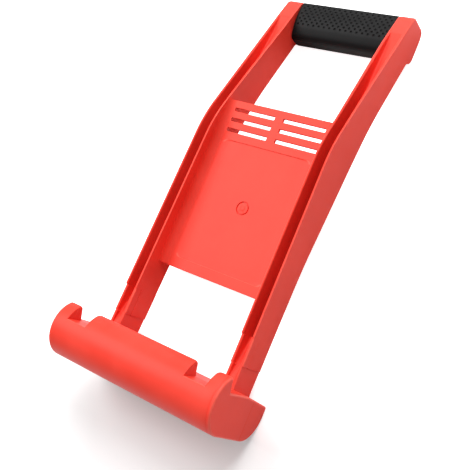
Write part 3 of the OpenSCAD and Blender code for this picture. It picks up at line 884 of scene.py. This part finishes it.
class CARRIER_OT_feet(bpy.types.Operator):
    """Loft the feet that lap over the ends of the rails"""
    bl_idname = "carrier.feet"
    bl_label = "Feet"

    def execute(self, context):
        red_pair("rail_foot", foot_rings)
        return {"FINISHED"}


class CARRIER_OT_plate(bpy.types.Operator):
    """Loft the plate with its recess, its gate mark, its slots and the fillets along the rails"""
    bl_idname = "carrier.plate"
    bl_label = "Centre plate"

    def execute(self, context):
        bm = bmesh.new()
        self.recessed_field(bm)
        for side in (LEFT, RIGHT):
            for row in range(SLOT_ROWS):
                self.slot_cell(bm, side, row)
            self.side_fillet(bm, side)
        red_piece("centre_plate", bm)
        return {"FINISHED"}

    def recessed_field(self, bm):
        """The plate below the slots: the gate mark, the shallow recess, the rim and the underside."""
        def recess(grow, ease):
            half = RECESS_HALF + grow - ease
            return rounded_ring(-half, half, RECESS_L[0] - grow, RECESS_L[1] + grow, RECESS_R + grow)

        outline = recess(0.0, 0.0)
        at_end = [min(l - RECESS_L[0], RECESS_L[1] - l) < RECESS_R / 2 for _, l in outline]
        turns = [atan2(l - GATE_L, x) for x, l in outline]
        levels = []
        for r, rise in GATE_RINGS:
            levels.append(([(r * cos(a), GATE_L + r * sin(a)) for a in turns], RECESS_FLOOR + rise))
        levels += [(recess(grow, ease), h) for grow, ease, h in RECESS_RINGS]
        # The rings half way round the recess's upper edge and the rim's, marked for the painted edge
        # highlight, the recess's at its ends only.
        recess_crest, rim_crest = len(levels) - 2, len(levels) + 1
        levels += [(between_rails(-1.0, 1.0, PLATE_FROM + draw, FIELD_TOP), h) for draw, h in plate_wall()]
        loft(bm, [[(x, l, h) for x, l in ring] for ring, h in levels],
             lambda i, j: i == rim_crest or i == recess_crest and at_end[j])

    def slot_cell(self, bm, side, row):
        """A tile of the plate's upper band, with one slot through it."""
        middle = PLATE_END - SLOT_FROM - row * SLOT_PITCH
        top = PLATE_END if row == 0 else middle + SLOT_PITCH / 2
        low = FIELD_TOP if row == SLOT_ROWS - 1 else middle - SLOT_PITCH / 2

        def slot(grow):
            return rounded_ring(SLOT_BAR / 2 - grow, SLOT_BAR / 2 + SLOT_LEN + grow,
                                middle - SLOT_W / 2 - grow, middle + SLOT_W / 2 + grow, SLOT_R + grow)

        def tile(draw):
            return between_rails(0.0, 1.0, low, top - (draw if row == 0 else 0.0))

        slots = [(slot(draw), h) for draw, h in plate_wall()]
        tiles = [(tile(draw), h) for draw, h in reversed(plate_wall())]
        levels = tiles[-1:] + slots + tiles
        # The rings half way round the slot's upper edge and the tile's, marked for the painted edge
        # highlight.
        crests = (2, len(levels) - 2)
        rings = [[(side * x, l, h) for x, l in ring] for ring, h in levels]
        loft(bm, rings, lambda i, j: i in crests, capped=False)

    def side_fillet(self, bm, side):
        """The round fillet between the plate's face and a rail."""
        e, r = sizes().plate_edge, sizes().plate_fillet
        rings = []
        for l in (PLATE_FROM + e, PLATE_END - e):
            x = inner_at(l)
            section = arc(x - r, PLATE_FACE + r, r, 0, -90, CORNER_STEPS)
            section += [(x - r, PLATE_FACE - e), (x + e, PLATE_FACE - e), (x + e, PLATE_FACE + r)]
            rings.append(ring_at(side, l, section))
        loft(bm, rings, lambda i, j: False)


class CARRIER_OT_hook(bpy.types.Operator):
    """Loft the hook's shell with its notched lip, and round its two ends"""
    bl_idname = "carrier.hook"
    bl_label = "Hook"

    def execute(self, context):
        self.make_shell()
        for side, word in SIDES:
            self.make_end(side, f"{word}_hook_end")
        return {"FINISHED"}

    def make_shell(self):
        """The shell from end to end, drawn in where it meets the right end."""
        bm = bmesh.new()
        stations = hook_stations()
        rings = [[(x, l, h) for l, h in hook_section(d, notched)] for x, d, notched in stations]
        rings[-1] = drawn_in(rings[-1])
        loft(bm, rings, lambda i, j: j in (SILL_POINTS if stations[i][2] else TIP_POINTS))
        red_piece("hook_shell", bm)

    def make_end(self, side, node):
        """An end, from a copy of its CAD node with its outer face made flat again and its edges rounded."""
        bm = cad_copy(node)
        for v in bm.verts:
            if abs(v.co.x) > HOOK_END_X + NEAR:
                v.co.x = side * HOOK_W / 2
        bmesh.ops.remove_doubles(bm, verts=bm.verts, dist=END_MERGE_GAP)
        bmesh.ops.dissolve_degenerate(bm, dist=END_MERGE_GAP, edges=bm.edges)
        flatten(bm)
        soften(bm, sizes().end_edge, END_EDGE_SEGMENTS, self.on_outer_face)
        soften(bm, sizes().hook_edge, HOOK_EDGE_SEGMENTS, lambda e: not all(map(self.at_joint, e.verts)))
        self.crease(bm, side)
        if side == RIGHT:
            self.joint_groove(bm, side)
        red_piece(node, bm)

    def on_outer_face(self, edge):
        """Whether an edge lies on the flat outer face of an end."""
        return all(abs(v.co.x) > HOOK_W / 2 - NEAR for v in edge.verts)

    def at_joint(self, vert):
        """Whether a vertex lies where an end meets the shell."""
        return abs(abs(vert.co.x) - HOOK_END_X) < NEAR

    def crease(self, bm, side):
        """Cuts the fine parting line across a flat end, and tapers the end behind it."""
        for h in (END_CREASE + CREASE_HALF, END_CREASE, END_CREASE - CREASE_HALF):
            cut_across(bm, (0.0, 0.0, h), (0.0, 0.0, 1.0))
        for v in bm.verts:
            if abs(v.co.x) > HOOK_END_X + NEAR:
                back = END_CREASE - v.co.z
                groove = min(CREASE_DEPTH, abs(v.co.x) - HOOK_END_X) if abs(back) < NEAR else 0.0
                v.co.x -= side * (END_TAPER * max(back, 0.0) + groove)

    def joint_groove(self, bm, side):
        """Draws the end's round rim in where it meets the shell."""
        cut_across(bm, (side * (HOOK_END_X + JOINT_STEP), 0.0, 0.0), (1.0, 0.0, 0.0))
        rim = [v for v in bm.verts if self.at_joint(v)]
        for v, place in zip(rim, drawn_in([tuple(v.co) for v in rim])):
            v.co = place


class CARRIER_OT_inner_pieces(bpy.types.Operator):
    """Give the ribs inside the hook and the bar inside the grip their plastic"""
    bl_idname = "carrier.inner_pieces"
    bl_label = "Ribs and bar"

    def execute(self, context):
        for node in ("hook_ribs", "handle_core"):
            mesh = frame["nodes"][node].data
            mesh.materials.clear()
            mesh.materials.append(red_plastic())
        return {"FINISHED"}


class CARRIER_OT_grip(bpy.types.Operator):
    """Make the crowned soft grip, with a chequer of real dimples on its front"""
    bl_idname = "carrier.grip"
    bl_label = "Grip"

    def execute(self, context):
        s = sizes()
        rows = [GRIP_TOP - FIELD_DROP - s.row_pitch * i for i in range(s.dimple_rows + 1)]
        pitch = 2 * GRIP_HALF / s.dimple_columns
        columns = [pitch * (i + 1) - GRIP_HALF for i in range(s.dimple_columns - 1)]
        across = [-GRIP_HALF, END_BAND - GRIP_HALF] + columns + [GRIP_HALF - END_BAND, GRIP_HALF]
        bm = bmesh.new()
        loft(bm, [[(x, l, h) for l, h in grip_section(rows)] for x in across], lambda i, j: False)
        self.press_dimples(bm, rows[0], pitch)
        piece = finished_piece("grip_sleeve", bm, soft_rubber(), RUBBER_BREAK)
        soft = piece.modifiers.new("Soft rubber", "SUBSURF")
        soft.levels = soft.render_levels = GRIP_LEVELS
        return {"FINISHED"}

    def press_dimples(self, bm, field_top, pitch):
        """Presses every other cell of the front's grid into a dimple with a rim."""
        s = sizes()
        cells = []
        for face in bm.faces:
            x, l, h = face.calc_center_median()
            row = (field_top - l) / s.row_pitch
            column = int((x + GRIP_HALF) / pitch)
            on_field = len(face.verts) == 4 and h > FIELD_BACK and 0 < row < s.dimple_rows
            if on_field and 0 < column < s.dimple_columns - 1 and (int(row) + column) % 2 == 0:
                cells.append(face)
        made = bmesh.ops.inset_individual(bm, faces=cells, thickness=s.dimple_rim, use_even_offset=True)
        rims = made["faces"]
        bmesh.ops.inset_individual(bm, faces=cells, thickness=DIMPLE_SIDE, depth=-s.dimple_depth,
                                   use_even_offset=True)
        # The rims are marked for the painted highlight.
        layer = highlight_layer(bm)
        for vert in {v for f in rims if f.is_valid for v in f.verts}:
            vert[layer] = 1.0


class CARRIER_OT_stage(bpy.types.Operator):
    """Set up the pale floor, the studio lights and the camera"""
    bl_idname = "carrier.stage"
    bl_label = "Stage"

    def execute(self, context):
        scene = context.scene
        scene.view_settings.view_transform = "Standard"
        self.make_floor(scene)
        for name, place, target, size, power in LIGHTS:
            self.make_light(scene, name, place, target, size, power)
        self.make_surroundings(scene)
        self.make_camera(scene)
        return {"FINISHED"}

    def make_floor(self, scene):
        """The floor that the carrier lies on."""
        bm = bmesh.new()
        bmesh.ops.create_grid(bm, x_segments=1, y_segments=1, size=FLOOR_HALF)
        mesh = bpy.data.meshes.new("floor")
        bm.to_mesh(mesh)
        bm.free()
        floor = bpy.data.objects.new("floor", mesh)
        scene.collection.objects.link(floor)
        mesh.materials.append(floor_material())

    def make_light(self, scene, name, place, target, size, power):
        """A round softbox that faces its target."""
        lamp = bpy.data.lights.new(name, "AREA")
        lamp.shape = "DISK"
        lamp.size = size
        lamp.energy = power
        obj = bpy.data.objects.new(name, lamp)
        aim = Vector(target) - Vector(place)
        obj.matrix_world = Matrix.Translation(place) @ aim.to_track_quat("-Z", "Y").to_matrix().to_4x4()
        scene.collection.objects.link(obj)

    def make_surroundings(self, scene):
        """Surroundings that are white to the camera and light the carrier only softly."""
        world = bpy.data.worlds.new("Studio")
        world.use_nodes = True
        sky = world.node_tree
        background = sky.nodes["Background"]
        background.inputs["Color"].default_value = WHITE
        camera_ray = sky.nodes.new("ShaderNodeLightPath").outputs["Is Camera Ray"]
        sky.links.new(add_math(sky, "MAXIMUM", camera_ray, SURROUND_LIGHT), background.inputs["Strength"])
        scene.world = world

    def make_camera(self, scene):
        """The view of the photograph, set out along the carrier and then laid down with it."""
        back = -Vector(CAMERA_LOOK).normalized()
        right = Vector(CAMERA_RIGHT)
        right = (right - right.dot(back) * back).normalized()
        up = back.cross(right)
        turn = Matrix((right, up, back)).transposed().to_4x4()
        camera = bpy.data.objects.new("Camera", bpy.data.cameras.new("Camera"))
        camera.data.sensor_width = SENSOR_W
        camera.data.lens = SENSOR_W * FOCAL_PX / PICTURE_PX
        camera.data.clip_start = CAMERA_CLIP
        camera.matrix_world = LAY @ Matrix.Translation(CAMERA_PLACE) @ turn
        scene.collection.objects.link(camera)
        scene.camera = camera


class CARRIER_PT_pieces(bpy.types.Panel):
    """Lists the carrier's pieces"""
    bl_idname = "CARRIER_PT_pieces"
    bl_label = "Panel carrier"
    bl_space_type = "VIEW_3D"
    bl_region_type = "UI"
    bl_category = "Panel carrier"

    def draw(self, context):
        column = self.layout.column()
        for piece in PIECES:
            column.operator(piece.bl_idname)
        for group in (context.scene.carrier_sizes, context.scene.carrier_finish):
            for name in group.bl_rna.properties.keys():
                if name not in ("rna_type", "name"):
                    column.prop(group, name)


PIECES = (CARRIER_OT_rails, CARRIER_OT_feet, CARRIER_OT_plate, CARRIER_OT_hook, CARRIER_OT_inner_pieces,
          CARRIER_OT_grip, CARRIER_OT_stage)
CLASSES = (CarrierSizes, CarrierFinish) + PIECES + (CARRIER_PT_pieces,)


def register():
    for cls in CLASSES:
        bpy.utils.register_class(cls)
    bpy.types.Scene.carrier_sizes = PointerProperty(type=CarrierSizes)
    bpy.types.Scene.carrier_finish = PointerProperty(type=CarrierFinish)


def unregister():
    del bpy.types.Scene.carrier_finish
    del bpy.types.Scene.carrier_sizes
    for cls in reversed(CLASSES):
        bpy.utils.unregister_class(cls)


def main():
    register()
    bpy.ops.carrier.rails()
    bpy.ops.carrier.feet()
    bpy.ops.carrier.plate()
    bpy.ops.carrier.hook()
    bpy.ops.carrier.inner_pieces()
    bpy.ops.carrier.grip()
    bpy.ops.carrier.stage()


if __name__ == "__main__":
    main()
